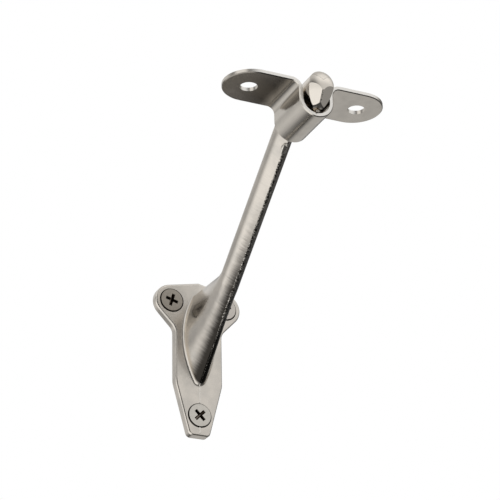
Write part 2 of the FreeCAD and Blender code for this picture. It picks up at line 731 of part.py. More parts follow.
def rail_holes(body):
    reach = size("rail_hole_spacing") / 2
    radius = size("rail_hole") / 2
    sketch = new_sketch(body, "rail_hole_outline", "XY_Plane", rise=f"-({SADDLE_REACH})")
    right = add_circle(sketch, (reach, 0), radius)
    left = add_circle(sketch, (-reach, 0), radius)
    rule(sketch, "PointOnObject", right, CENTRE, H_AXIS)
    rule(sketch, "Symmetric", right, CENTRE, left, CENTRE, *ORIGIN)
    rule(sketch, "Equal", right, left)
    bind(sketch, "DistanceX", (*ORIGIN, right, CENTRE), reach, "Sizes.rail_hole_spacing / 2")
    bind(sketch, "Radius", (right,), radius, "Sizes.rail_hole / 2")
    return sketch


OUTER_EDGES = range(4)  # the strip outline's arc, wall, fold and ear on the outer side


def outer_edges(shape, sketch):
    """The strip's rims on its outer side, where the sheared edge is broken."""
    middle = -value_of(SADDLE_REACH)
    outline = Part.Compound([sketch.Geometry[number].toShape() for number in OUTER_EDGES])
    outline.Placement = sketch.Placement
    half = size("strap_width") / 2
    centre = size("saddle_length") / 2 - half
    names = []
    for number, edge in enumerate(shape.Edges, start=1):
        rims = []
        for point in edge.discretize(7):
            beyond = max(abs(point.x) - centre, 0)
            on_rim = abs(math.hypot(beyond, point.y - middle) - half) < NEAR
            level = Part.Vertex(abs(point.x), middle, point.z)
            rims.append(on_rim and level.distToShape(outline)[0] < NEAR)
        if all(rims):
            names.append(f"Edge{number}")
    return names


saddle = new_body("rail_saddle")
strip = strip_outline(saddle)
pad(saddle, "half_strip", strip, "Sizes.strap_width + 2 * Sizes.edge_round", midplane=True)
mirror(saddle, "strip", strip)
cut_through(saddle, "round_ears", ear_trim(saddle))
outer_rims = outer_edges(saddle.Shape, strip)
eased(saddle, "PartDesign::Chamfer", "edge_break", outer_rims, "Size", "Sizes.edge_break")
cut_through(saddle, "rail_holes", rail_holes(saddle))


# ---- wall screws ---------------------------------------------------------------------------


def screw_outline(body):
    """Half of the screw: countersunk head, plain shank, thread core and point."""
    head = size("head_width") / 2
    rim = size("head_rim")
    shank = size("shank_width") / 2
    core = size("core_width") / 2
    shank_end = size("shank_length")
    length = size("screw_length")
    point = size("point_length")
    cone = (head - shank) / tangent_of(size("sink_angle") / 2)
    sketch = new_sketch(body, "screw_outline", "XY_Plane")
    corners = (
        (0, 0),
        (head, 0),
        (head, rim),
        (shank, rim + cone),
        (shank, shank_end),
        (core, shank_end + shank - core),
        (core, length - point),
        (0, length),
    )
    face, edge, taper, plain, step, thread, tip_line, axis_line = add_loop(sketch, corners)
    rule(sketch, "Horizontal", face)
    for line in (edge, plain, thread):
        rule(sketch, "Vertical", line)
    rule(sketch, "Coincident", face, START, *ORIGIN)
    rule(sketch, "PointOnObject", axis_line, START, V_AXIS)
    bind(sketch, "DistanceX", (*ORIGIN, face, END), head, "Sizes.head_width / 2")
    bind(sketch, "DistanceX", (*ORIGIN, plain, START), shank, "Sizes.shank_width / 2")
    bind(sketch, "DistanceX", (*ORIGIN, thread, START), core, "Sizes.core_width / 2")
    bind(sketch, "DistanceY", (*ORIGIN, edge, END), rim, "Sizes.head_rim")
    cone_depth = "(Sizes.head_width - Sizes.shank_width) / 2 / tan(Sizes.sink_angle / 2)"
    bind(sketch, "DistanceY", (edge, END, plain, START), cone, cone_depth)
    bind(sketch, "DistanceY", (*ORIGIN, plain, END), shank_end, "Sizes.shank_length")
    step_depth = "(Sizes.shank_width - Sizes.core_width) / 2"
    bind(sketch, "DistanceY", (plain, END, thread, START), shank - core, step_depth)
    bind(sketch, "DistanceY", (tip_line, START, tip_line, END), point, "Sizes.point_length")
    bind(sketch, "DistanceY", (*ORIGIN, axis_line, START), length, "Sizes.screw_length")
    return sketch


def recess_outline(body):
    """The cross of the driver recess, on the face of the head."""
    reach = "Sizes.recess_span / 2"
    slot = "Sizes.recess_slot / 2"
    quarter = ((reach, slot), (slot, slot), (slot, reach))
    corners = []
    for across, rise in ((1, 1), (-1, 1), (-1, -1), (1, -1)):
        turn = quarter if across * rise > 0 else quarter[::-1]
        corners += [(f"{across} * {x}", f"{rise} * {y}") for x, y in turn]
    sketch = new_sketch(body, "recess_outline", "XZ_Plane")
    lines = add_loop(sketch, [(value_of(x), value_of(y)) for x, y in corners])
    for number, (line, corner) in enumerate(zip(lines, corners)):
        if number % 2:
            rule(sketch, "Vertical", line)
            bind(sketch, "DistanceX", (*ORIGIN, line, START), value_of(corner[0]), corner[0])
        else:
            rule(sketch, "Horizontal", line)
            bind(sketch, "DistanceY", (*ORIGIN, line, START), value_of(corner[1]), corner[1])
    return sketch


# Quarter turns never line up on site: the angle of each driver cross above the horizontal.
CROSS_ANGLES = {"left": 73.0, "right": 20.0, "lower": 44.0}
RECESS_TAPER = -12.0  # the slots narrow with depth, degrees
HEAD_PROUD = "(Sizes.head_rim - (Sizes.sink_width - Sizes.head_width) / 2 / tan(Sizes.sink_angle / 2))"


def wall_screw(label):
    across, rise = SCREWS[label]
    screw = new_body(f"wall_screw_{label}")
    turned(screw, "PartDesign::Revolution", f"{label}_blank", screw_outline(screw), "V_Axis")
    before = screw.Shape.Volume
    recess = screw.newObject("PartDesign::Pocket", f"{label}_recess")
    recess.Profile = recess_outline(screw)
    recess.Type = "Length"
    recess.setExpression("Length", "Sizes.recess_depth")
    recess.TaperAngle = RECESS_TAPER
    screw.Tip = recess
    doc.recompute()
    assert screw.Shape.Volume < before, label
    turn = FreeCAD.Rotation(FreeCAD.Vector(0, -1, 0), CROSS_ANGLES[label])
    screw.Placement = FreeCAD.Placement(FreeCAD.Vector(), turn)
    screw.setExpression("Placement.Base.x", across)
    screw.setExpression("Placement.Base.y", f"-({screw_face(across)}) - {HEAD_PROUD}")
    screw.setExpression("Placement.Base.z", rise)
    return screw


screws = [wall_screw(label) for label in SCREWS]


# ---- check and write -----------------------------------------------------------------------

doc.recompute()
for item in doc.Objects:
    if "Invalid" in item.State or "Error" in item.State:
        raise RuntimeError(f"{item.Label} did not recompute: {item.State}")

os.makedirs("parts", exist_ok=True)
for piece in [bracket, saddle, *screws]:
    shape = piece.Shape
    if shape.isNull() or not shape.isValid() or len(shape.Solids) != 1:
        raise RuntimeError(f"{piece.Label} is not one valid solid")
    shape.exportStep(f"parts/{piece.Label}.step")
    print(piece.Label, round(shape.Volume, 1))
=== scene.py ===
"""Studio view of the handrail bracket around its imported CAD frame, in metres."""
import math
import random

import bmesh
import bpy
from mathutils import Matrix, Vector
from mathutils.bvhtree import BVHTree


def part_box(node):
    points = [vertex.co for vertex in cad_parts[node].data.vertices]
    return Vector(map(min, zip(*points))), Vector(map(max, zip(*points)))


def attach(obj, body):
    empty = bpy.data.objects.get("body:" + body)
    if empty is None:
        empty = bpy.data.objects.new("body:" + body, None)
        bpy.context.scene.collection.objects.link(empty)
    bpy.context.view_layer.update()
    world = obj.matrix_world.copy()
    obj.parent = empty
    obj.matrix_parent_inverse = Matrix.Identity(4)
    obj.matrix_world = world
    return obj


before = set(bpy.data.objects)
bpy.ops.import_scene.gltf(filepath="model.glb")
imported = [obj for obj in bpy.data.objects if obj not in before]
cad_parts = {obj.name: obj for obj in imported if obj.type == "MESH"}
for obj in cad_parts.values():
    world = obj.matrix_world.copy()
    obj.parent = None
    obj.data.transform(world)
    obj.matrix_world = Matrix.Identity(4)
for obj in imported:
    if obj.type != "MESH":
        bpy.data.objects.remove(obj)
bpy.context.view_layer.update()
MM = 0.001

# ---- what the frame says -------------------------------------------------------------------

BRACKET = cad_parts["wall_bracket"]
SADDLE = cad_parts["rail_saddle"]
SCREWS = sorted(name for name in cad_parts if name.startswith("wall_screw"))
BRACKET_LOW, BRACKET_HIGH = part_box("wall_bracket")
SADDLE_LOW, SADDLE_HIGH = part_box("rail_saddle")
PLATE_FRONT = -3.3 * MM       # the plate's front on the middle plane
ARM_SLOPE = math.radians(38.5)
ALONG_ARM = Vector((0, -math.cos(ARM_SLOPE), math.sin(ARM_SLOPE)))
UNDER_ARM = Vector((0, -math.sin(ARM_SLOPE), -math.cos(ARM_SLOPE)))

ACROSS = Vector((1, 0, 0))    # along the rail
INWARD = Vector((0, 1, 0))    # towards the wall
UP = Vector((0, 0, 1))
DOWN = Vector((0, 0, -1))


# ---- node graphs ---------------------------------------------------------------------------

class Graph:
    """A small hand for wiring shader nodes."""

    def __init__(self, tree):
        self.tree = tree
        tree.nodes.clear()

    def add(self, kind, *feeds, **settings):
        node = self.tree.nodes.new(kind)
        for name, value in settings.items():
            setattr(node, name, value)
        for slot, value in feeds:
            self.feed(node, slot, value)
        return node

    def feed(self, node, slot, value):
        socket = node.inputs[slot]
        if isinstance(value, bpy.types.NodeSocket):
            self.tree.links.new(value, socket)
        else:
            socket.default_value = value

    def math(self, operation, a, b=0.0, c=0.0, clamp=False):
        node = self.add("ShaderNodeMath", (0, a), (1, b), (2, c), operation=operation,
                        use_clamp=clamp)
        return node.outputs[0]

    def times(self, a, b):
        return self.math("MULTIPLY", a, b)

    def ramp(self, value, low, high, to_low=0.0, to_high=1.0):
        """A smooth step of value from low to high."""
        node = self.add("ShaderNodeMapRange", (0, value), (1, low), (2, high), (3, to_low),
                        (4, to_high), interpolation_type="SMOOTHSTEP")
        return node.outputs[0]

    def fall(self, value, low, high):
        """A smooth step down, from 1 at low to 0 at high."""
        return self.math("SUBTRACT", 1.0, self.ramp(value, low, high))

    def split(self, vector):
        """The X, Y and Z of a vector."""
        return self.add("ShaderNodeSeparateXYZ", ("Vector", vector)).outputs

    def dot(self, vector, direction):
        node = self.add("ShaderNodeVectorMath", (0, vector), (1, direction),
                        operation="DOT_PRODUCT")
        return node.outputs["Value"]

    def off_axis(self, place, x, z):
        """Distance from the line through x and z that runs straight out of the wall."""
        flat = self.add("ShaderNodeVectorMath", (0, place), (1, (1, 0, 1)),
                        operation="MULTIPLY").outputs[0]
        node = self.add("ShaderNodeVectorMath", (0, flat), (1, (x, 0, z)),
                        operation="DISTANCE")
        return node.outputs["Value"]

    def mix(self, share, a, b):
        """Numbers a and b mixed by share."""
        return self.add("ShaderNodeMix", (0, share), (2, a), (3, b)).outputs[0]

    def tint(self, share, a, b):
        """Colours a and b mixed by share."""
        node = self.add("ShaderNodeMix", (0, share), (6, a), (7, b), data_type="RGBA")
        return node.outputs[2]

    def blend(self, share, a, b):
        """Shaders a and b mixed by share."""
        return self.add("ShaderNodeMixShader", (0, share), (1, a), (2, b)).outputs[0]

    def noise(self, vector, scale, detail=2.0, rough=0.5):
        node = self.add("ShaderNodeTexNoise", ("Vector", vector), ("Scale", scale),
                        ("Detail", detail), ("Roughness", rough))
        return node.outputs["Fac"]

    def grain(self, place, fine, across, fine_scale, long_scale):
        """Noise drawn out across the fine direction: the marks of a brush or a belt."""
        node = self.add("ShaderNodeCombineXYZ",
                        (0, self.times(self.dot(place, fine), fine_scale)),
                        (1, self.times(self.dot(place, across), long_scale)),
                        (2, self.times(self.dot(place, fine.cross(across)), long_scale)))
        return self.noise(node.outputs[0], scale=1.0, detail=3.0, rough=0.6)

    def bump(self, shader, height, depth):
        node = self.add("ShaderNodeBump", ("Height", height), ("Distance", depth),
                        ("Strength", 1.0))
        self.feed(shader, "Normal", node.outputs[0])

    def place(self):
        return self.add("ShaderNodeTexCoord").outputs["Object"]

    def normal(self):
        return self.add("ShaderNodeNewGeometry").outputs["Normal"]


def new_material(name):
    material = bpy.data.materials.new(name)
    material.use_nodes = True
    return material, Graph(material.node_tree)


def metal(name, tone):
    """A bare metal: the material, its graph and its shader."""
    material, graph = new_material(name)
    shader = graph.add("ShaderNodeBsdfPrincipled", ("Base Color", tone), ("Metallic", 1.0))
    graph.add("ShaderNodeOutputMaterial", ("Surface", shader.outputs[0]))
    return material, graph, shader


# ---- metals --------------------------------------------------------------------------------

# Tones: red, green, blue and alpha.
NICKEL = (0.84, 0.78, 0.70, 1)
CAST_CLOUD = (0.70, 0.66, 0.60, 1)
CAST_RUBBED = (0.42, 0.385, 0.34, 1)
KEEL_PITS = (0.16, 0.145, 0.125, 1)
STEM_PITS = (0.12, 0.105, 0.09, 1)
# Painted shade: at the root of the arm, and in the gap round each screw head.
PAINTED_SHADE = (0.02, 0.017, 0.014, 1)
STRAP_CLOUD = (0.69, 0.65, 0.585, 1)
# The strap's shear-cut edges: bare metal, with a painted highlight in their near-white tone.
STRAP_SHEARED_HIGHLIGHT = (0.95, 0.92, 0.87, 1)
STRAP_SHADE = (0.06, 0.048, 0.036, 1)
# Painted shade in a screw's driver recess.
RECESS_PAINTED_SHADE = (0.24, 0.205, 0.17, 1)
FLASH_MIDDLE = (0.5, 0.465, 0.41, 1)
FLASH_BRIGHT = (0.80, 0.76, 0.69, 1)
FLASH_TORN = (0.03, 0.026, 0.022, 1)
# Painted highlight along the plate's parting line.
SEAM_HIGHLIGHT = (0.97, 0.93, 0.87, 1)
SEAM_WORN = (0.82, 0.77, 0.7, 1)
# The three screws are alike; each tone paints the light and shade on that screw, darkest on the
# left one.
SCREW_LIT_AND_SHADED_TONES = {"wall_screw_left": (0.44, 0.40, 0.345, 1),
               "wall_screw_right": (0.73, 0.68, 0.62, 1),
               "wall_screw_lower": (0.79, 0.75, 0.68, 1)}
SCREW_WORN = 0.86             # of a screw's tone, where it is worn

# Roughness: the least and the most, as the grain or the cloud over it goes.
PLATE_ROUGH = (0.2, 0.28)
ARM_ROUGH = (0.14, 0.26)
KEEL_ROUGH = (0.08, 0.4)
STRAP_ROUGH = (0.17, 0.25)
SCREW_ROUGH = (0.24, 0.4)
NOSE_ROUGH = (0.2, 0.3)
FLASH_ROUGH = (0.1, 0.35)
SEAM_ROUGH = (0.28, 0.45)
POLISHED = 0.12               # the tip of the casting and the prow
SHEARED_ROUGH = 0.4           # the strap's cut edges

# Brush marks: the direction across the marks and one along them.
PLATE_FINE = Vector((-0.57, 0, 0.82))
PLATE_LONG = Vector((0.82, 0, 0.57))

# Below, a pair is where a change starts and where it is complete.
# Distances out from the wall:
PLATE_TO_ARM = (-PLATE_FRONT + 0.2 * MM, -PLATE_FRONT + 1.2 * MM)
ARM_TO_NOSE = (-SADDLE_LOW.y - 1 * MM, -SADDLE_LOW.y + 1 * MM)
# Where the painted shade at the root of the arm starts, ends and tapers:
ROOT_SHADE_START = (-PLATE_FRONT + 0.3 * MM, -PLATE_FRONT + 1.2 * MM)
ROOT_SHADE_END = (30 * MM, 64 * MM)
ROOT_SHADE_TAPER = (4 * MM, 58 * MM)
CLEARANCE_FRONT = (1.2 * MM, 1.8 * MM)

KEEL_START = -11.8 * MM       # the keel line's height at the wall
KEEL_EDGE = (0.45 * MM, 0.75 * MM)      # off the middle plane
KEEL_FACING = (0.6, 0.8)      # how squarely a face looks along UNDER_ARM
KEEL_PITTED = (0.42, 0.6)     # levels of the flash noise
KEEL_TORN = 40.0              # depth of the keel's pits, in depths of the grain
GRAIN_DEPTH = (0.35, 1.0)     # on the plate and on the arm
CLOUDED = (0.3, 0.7)          # levels of the cloud noise
RUBBED_MOST = 0.3
NOSE_MOST = 0.8
CAST_RELIEF = 0.0022 * MM

# The painted shade along the root's keel:
ROOT_SHADE_HEIGHT = (6.4 * MM, 2.4 * MM)      # above the keel line, near the wall and far out
ROOT_SHADE_RAGGED = 3.2 * MM        # how far the grain pulls the painted shade's edge
ROOT_SHADE_FADE = 1.08              # of its height
ROOT_SHADE_MOST = 0.97
CLEARANCE_SHIFT = (-0.02 * MM, -0.12 * MM)      # from the screw's middle, in X and Z
CLEARANCE_RIM = (4.40 * MM, 4.50 * MM)


def above_keel(graph, split, out):
    """Height above the keel line, measured upright."""
    climb = graph.times(out, math.tan(ARM_SLOPE))
    return graph.math("SUBTRACT", graph.math("SUBTRACT", split["Z"], KEEL_START), climb)


def root_shade(graph, split, out, grain):
    """Painted shade: dark streaks round the keel of the root, ragged with the arm's grain."""
    ragged = graph.math("MULTIPLY_ADD", grain, -ROOT_SHADE_RAGGED, ROOT_SHADE_RAGGED / 2)
    height = graph.math("ADD", above_keel(graph, split, out), ragged)
    reach = graph.ramp(out, *ROOT_SHADE_TAPER, *ROOT_SHADE_HEIGHT)
    low = graph.fall(graph.math("DIVIDE", height, reach), 0.0, ROOT_SHADE_FADE)
    span = graph.times(graph.ramp(out, *ROOT_SHADE_START), graph.fall(out, *ROOT_SHADE_END))
    return graph.times(graph.times(low, ROOT_SHADE_MOST), span)


def near_screws(graph, place, out):
    """Painted shade in the gap round each screw head, on the plate's front only."""
    total = 0.0
    for name in SCREWS:
        low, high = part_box(name)
        centre = (low + high) / 2
        away = graph.off_axis(place, centre.x + CLEARANCE_SHIFT[0],
                              centre.z + CLEARANCE_SHIFT[1])
        total = graph.math("ADD", graph.fall(away, *CLEARANCE_RIM), total, clamp=True)
    return graph.times(total, graph.ramp(out, *CLEARANCE_FRONT))


def cast_metal():
    """Satin plating, brushed on the plate and the arm and torn along the keel."""
    material, graph, shader = metal("cast_nickel_satin", NICKEL)
    place = graph.place()
    split = graph.split(place)
    out = graph.times(split["Y"], -1.0)
    on_arm = graph.ramp(out, *PLATE_TO_ARM)
    nose = graph.ramp(out, *ARM_TO_NOSE)
    band = graph.fall(graph.math("ABSOLUTE", split["X"]), *KEEL_EDGE)
    under = graph.ramp(graph.dot(graph.normal(), UNDER_ARM), *KEEL_FACING)
    keel = graph.times(under, graph.times(band, on_arm))
    plate_grain = graph.grain(place, PLATE_FINE, PLATE_LONG, fine_scale=5200, long_scale=260)
    arm_grain = graph.grain(place, ALONG_ARM, UNDER_ARM, fine_scale=3600, long_scale=160)
    grain = graph.mix(on_arm, plate_grain, arm_grain)
    cloud = graph.noise(place, scale=160.0, detail=3.0)
    flash = graph.noise(place, scale=1300.0, detail=4.0, rough=0.75)

    rough = graph.mix(on_arm, graph.mix(cloud, *PLATE_ROUGH), graph.mix(grain, *ARM_ROUGH))
    rough = graph.mix(graph.times(nose, NOSE_MOST), rough, POLISHED)
    rough = graph.mix(keel, rough, graph.mix(flash, *KEEL_ROUGH))
    graph.feed(shader, "Roughness", rough)

    tone = graph.tint(graph.ramp(cloud, *CLOUDED), NICKEL, CAST_CLOUD)
    tone = graph.tint(graph.times(keel, graph.ramp(flash, *KEEL_PITTED)), tone, KEEL_PITS)
    rubbed = graph.times(graph.times(arm_grain, on_arm), RUBBED_MOST)
    tone = graph.tint(rubbed, tone, CAST_RUBBED)
    # Painted shade along the keel of the root and in the gap round each screw head.
    tone = graph.tint(root_shade(graph, split, out, arm_grain), tone, PAINTED_SHADE)
    tone = graph.tint(near_screws(graph, place, out), tone, PAINTED_SHADE)
    graph.feed(shader, "Base Color", tone)

    brushed = graph.times(grain, graph.mix(on_arm, *GRAIN_DEPTH))
    torn = graph.times(keel, graph.times(flash, KEEL_TORN))
    graph.bump(shader, graph.math("ADD", brushed, torn), CAST_RELIEF)
    return material


SHEARED_FACING = (0.85, 0.97)           # how squarely a face looks along Y
EAR_EDGE = (-12.5 * MM, -6.0 * MM)      # the left ear's inner edge, in X
EAR_DEPTH = (SADDLE_LOW.x, -11 * MM)    # from the ear's end to its root, in X
EAR_SHADE = (0.60, 0.92)      # how dark it is at its end and at its root
EAR_UNDER = (0.2, 0.7)        # how squarely a face looks down
STRAP_GRAIN = 0.5
STRAP_SPECK = 0.2
STRAP_RELIEF = 0.0015 * MM


def strap_metal():
    """Satin plated strap, with shear-cut edges whose near-white tone is partly a painted
    highlight, and painted shade under its left ear.
    """
    material, graph, shader = metal("strap_nickel_satin", NICKEL)
    place, normal = graph.place(), graph.normal()
    x = graph.split(place)["X"]
    grain = graph.grain(place, ACROSS, INWARD, fine_scale=3800, long_scale=200)
    cloud = graph.noise(place, scale=220.0, detail=3.0)
    speck = graph.noise(place, scale=5200.0, detail=2.0, rough=0.7)
    facing = graph.math("ABSOLUTE", graph.split(normal)["Y"])
    sheared_and_highlight = graph.ramp(facing, *SHEARED_FACING)
    rough = graph.mix(graph.ramp(cloud, *CLOUDED), *STRAP_ROUGH)
    graph.feed(shader, "Roughness", graph.mix(sheared_and_highlight, rough, SHEARED_ROUGH))

    under = graph.ramp(graph.dot(normal, DOWN), *EAR_UNDER)
    ear = graph.times(graph.fall(x, *EAR_EDGE), under)
    shade = graph.times(ear, graph.ramp(x, *EAR_DEPTH, *EAR_SHADE))
    tone = graph.tint(shade, graph.tint(cloud, NICKEL, STRAP_CLOUD), STRAP_SHADE)
    # The cut edges' near-white tone is partly a painted highlight.
    graph.feed(shader, "Base Color", graph.tint(sheared_and_highlight, tone, STRAP_SHEARED_HIGHLIGHT))

    height = graph.math("ADD", graph.times(grain, STRAP_GRAIN),
                        graph.times(speck, STRAP_SPECK))
    graph.bump(shader, height, STRAP_RELIEF)
    return material


RECESS_RIM = (2.6 * MM, 2.8 * MM)       # from the screw's axis
RECESS_TOP = (0.1 * MM, 0.6 * MM)       # below the front of the head
RECESS_FLOOR = (2.2 * MM, 2.4 * MM)
SCREW_RELIEF = 0.003 * MM


def screw_metal(name, tone):
    """Tumbled plating in the screw's tone of painted light and shade, with painted shade in the
    driver recess.
    """
    material, graph, shader = metal(f"screw_nickel_{name}", tone)
    place = graph.place()
    low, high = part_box(name)
    centre = (low + high) / 2
    inside = graph.fall(graph.off_axis(place, centre.x, centre.z), *RECESS_RIM)
    depth = graph.math("SUBTRACT", graph.split(place)["Y"], low.y)
    recess = graph.times(graph.times(inside, graph.ramp(depth, *RECESS_TOP)),
                         graph.fall(depth, *RECESS_FLOOR))
    cloud = graph.noise(place, scale=700.0, detail=4.0, rough=0.6)
    speck = graph.noise(place, scale=4200.0, detail=2.0, rough=0.7)
    graph.feed(shader, "Roughness", graph.mix(cloud, *SCREW_ROUGH))
    darker = (*(SCREW_WORN * level for level in tone[:3]), 1)
    worn = graph.tint(cloud, tone, darker)
    # Painted shade in the driver recess.
    graph.feed(shader, "Base Color", graph.tint(recess, worn, RECESS_PAINTED_SHADE))
    graph.bump(shader, speck, SCREW_RELIEF)
    return material


BELOW_STEM = (-0.3 * MM, 1.6 * MM)      # from the head of the stem, upwards
STEM_FACING = (0.985, 0.995)  # how squarely a face looks ahead of the stem
STEM_PITTED = (0.45, 0.6)     # levels of the flash noise
STEM_TORN = 30.0              # depth of the stem's pits, in depths of the grain
NOSE_GRAIN = 0.7


def nose_metal(stem):
    """Satin on the round of the nose, polished on the prow and torn down the stem."""
    material, graph, shader = metal("nose_nickel", NICKEL)
    place = graph.place()
    ahead = ACROSS.cross(stem)
    ahead = ahead if ahead.y < 0 else -ahead
    below = graph.fall(graph.split(place)["Z"], STEM_HEAD.z + BELOW_STEM[0],
                       STEM_HEAD.z + BELOW_STEM[1])
    stem_face = graph.ramp(graph.dot(graph.normal(), ahead), *STEM_FACING)
    flash = graph.noise(place, scale=1500.0, detail=4.0, rough=0.8)
    grain = graph.grain(place, ACROSS, UP, fine_scale=3400, long_scale=150)
    rough = graph.mix(below, graph.mix(grain, *NOSE_ROUGH), POLISHED)
    graph.feed(shader, "Roughness", rough)
    pits = graph.times(graph.times(stem_face, below), graph.ramp(flash, *STEM_PITTED))
    graph.feed(shader, "Base Color", graph.tint(pits, NICKEL, STEM_PITS))
    height = graph.math("ADD", graph.times(grain, NOSE_GRAIN), graph.times(pits, STEM_TORN))
    graph.bump(shader, height, CAST_RELIEF)
    return material


KEEL_TEAR = (0.34, 0.56)      # levels of the speck noise where the keel's flash is torn
BURR_TEAR = (0.52, 0.66)
FLASH_RELIEF = 0.08 * MM
SEAM_CLOUDED = (0.35, 0.65)   # levels of the cloud noise
SEAM_RELIEF = 0.01 * MM


def flash_metal(name, tear):
    """Trimmed flash: bright, with dark torn pits where a noise passes between two levels."""
    material, graph, shader = metal(name, FLASH_MIDDLE)
    speck = graph.noise(graph.place(), scale=1700.0, detail=4.0, rough=0.75)
    graph.feed(shader, "Roughness", graph.mix(speck, *FLASH_ROUGH))
    tone = graph.tint(graph.ramp(speck, *tear), FLASH_BRIGHT, FLASH_TORN)
    graph.feed(shader, "Base Color", tone)
    graph.bump(shader, speck, FLASH_RELIEF)
    return material


def seam_metal():
    """A parting line, whose near-white tone is a painted highlight along the ridge, mottled by a
    cloud noise.
    """
    material, graph, shader = metal("seam_nickel", SEAM_HIGHLIGHT)
    cloud = graph.noise(graph.place(), scale=900.0, detail=3.0, rough=0.6)
    graph.feed(shader, "Roughness", graph.mix(cloud, *SEAM_ROUGH))
    # Painted highlight along the ridge, mottled by the cloud noise.
    tone = graph.tint(graph.ramp(cloud, *SEAM_CLOUDED), SEAM_HIGHLIGHT, SEAM_WORN)
    graph.feed(shader, "Base Color", tone)
    graph.bump(shader, cloud, SEAM_RELIEF)
    return material


def assign(node, material):
    for slot in node.material_slots:
        slot.material = material


assign(BRACKET, cast_metal())
assign(SADDLE, strap_metal())
SCREW = {name: screw_metal(name, SCREW_LIT_AND_SHADED_TONES[name]) for name in SCREWS}
for name in SCREWS:
    assign(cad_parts[name], SCREW[name])


# ---- detail that rides on the part ---------------------------------------------------------

SKIN = BVHTree.FromPolygons([v.co for v in BRACKET.data.vertices],
                            [p.vertices for p in BRACKET.data.polygons])
CLEAR = -40 * MM              # where a ray starts, below or in front of the casting


def add_object(name, data):
    made = bpy.data.objects.new(name, data)
    bpy.context.collection.objects.link(made)
    return made


def piece(name, mesh, material, crease):
    """A new piece of the object, smooth but for creases sharper than an angle in degrees."""
    mesh.shade_smooth()
    mesh.set_sharp_from_angle(angle=math.radians(crease))
    made = add_object(name, mesh)
    mesh.materials.append(material)
    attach(made, "root")


def drop(point, direction):
    """Where a ray from a point meets the casting."""
    return SKIN.ray_cast(Vector(point), direction)[0]


def wrap(form):
    """Close a form's points in their convex hull."""
    bmesh.ops.convex_hull(form, input=form.verts)
    loose = [vertex for vertex in form.verts if not vertex.link_faces]
    bmesh.ops.delete(form, geom=loose, context="VERTS")


def settle(form, mesh):
    """Turn a form's faces outwards and write it into a mesh."""
    bmesh.ops.recalc_face_normals(form, faces=form.faces)
    form.to_mesh(mesh)
    form.free()


def ribbon(name, rings):
    """A mesh through rings of points, one after another, with both ends capped."""
    mesh = bpy.data.meshes.new(name)
    size = len(rings[0])
    points = [point for ring in rings for point in ring]
    faces = []
    for ring in range(len(rings) - 1):
        for number in range(size):
            here = ring * size + number
            there = ring * size + (number + 1) % size
            faces.append((here, there, there + size, here + size))
    faces.append(tuple(reversed(range(size))))
    faces.append(tuple(range(len(points) - size, len(points))))
    mesh.from_pydata(points, [], faces)
    mesh.validate()
    form = bmesh.new()
    form.from_mesh(mesh)
    settle(form, mesh)
    return mesh


# The stub's section: half its width, its depth, and the half widths of crown and keel.
STUB_HALF = 4.35 * MM
STUB_DEPTH = 12.8 * MM
CROWN_HALF = 0.52 * MM
KEEL_HALF = 0.5 * MM
CROWN_LEVEL = STUB_HALF - 0.03 * MM     # under the casting's own crown
NOSE_RADIUS = 8.2 * MM
NOSE_RINGS = 14
NOSE_STEPS = 60
NOSE_BACK = SADDLE_LOW.y + 1.5 * MM     # where the new nose ends, inside the saddle
PROUD = 1.004                 # scale that keeps the new nose just outside the one under it
STEM_FOOT = Vector((0, -98.95, 49.2)) * MM
STEM_HEAD = Vector((0, -102.72, 54.9)) * MM
STEM_HALF = 0.3 * MM
PROW_ANGLE = math.radians(62)
FACET_AREA = 1.2 * MM**2      # a larger face is one of the prow's and stays flat


def half_width(height):
    """Half the stub's width at a height above or below its widest level."""
    edge, level = (CROWN_HALF, STUB_HALF) if height > 0 else (KEEL_HALF, STUB_DEPTH - STUB_HALF)
    inset = STUB_HALF - edge
    radius = (inset**2 + level**2) / (2 * inset)
    return STUB_HALF - radius + math.sqrt(max(radius**2 - height**2, 0))


def stub_outline():
    """The stub's section, as points across and up from its widest level."""
    lowest = STUB_HALF - STUB_DEPTH
    outline = []
    for step in range(NOSE_STEPS + 1):
        share = 1 - math.cos(math.pi * step / NOSE_STEPS)
        height = lowest + (STUB_HALF - lowest) * share / 2
        outline.append((half_width(height), height))
    return outline + [(-x, z) for x, z in reversed(outline)]


def nose_front():
    """The round nose and the prow under it: a stem and a face on each side of it."""
    centre = Vector((0, BRACKET_LOW.y + NOSE_RADIUS, BRACKET_HIGH.z - STUB_HALF))
    outline = stub_outline()
    form = bmesh.new()
    for ring in range(1, NOSE_RINGS + 1):
        for x, z in outline:
            across = x * ring / NOSE_RINGS * PROUD
            rise = min(z, CROWN_LEVEL) * ring / NOSE_RINGS
            inside = max(NOSE_RADIUS**2 - across**2 - rise**2, 0)
            form.verts.new(centre + Vector((across, -math.sqrt(inside), rise)))
    for x, z in outline:
        form.verts.new(Vector((x * PROUD, NOSE_BACK, centre.z + min(z, CROWN_LEVEL))))
    wrap(form)
    stem = (STEM_HEAD - STEM_FOOT).normalized()
    for side in (0, -1, 1):
        flank = Vector((side * math.sin(PROW_ANGLE), math.cos(PROW_ANGLE), 0))
        normal = stem.cross(flank if side else ACROSS).normalized()
        if normal.y > 0:
            normal = -normal
        everything = form.verts[:] + form.edges[:] + form.faces[:]
        cut = bmesh.ops.bisect_plane(form, geom=everything, plane_no=normal,
                                     plane_co=STEM_HEAD + ACROSS * (side * STEM_HALF),
                                     clear_outer=True)
        rim = [edge for edge in cut["geom_cut"] if isinstance(edge, bmesh.types.BMEdge)]
        bmesh.ops.holes_fill(form, edges=rim)
    mesh = bpy.data.meshes.new("nose_front")
    settle(form, mesh)
    piece("nose_front", mesh, nose_metal(stem), crease=20)
    for polygon in mesh.polygons:
        polygon.use_smooth = polygon.area < FACET_AREA


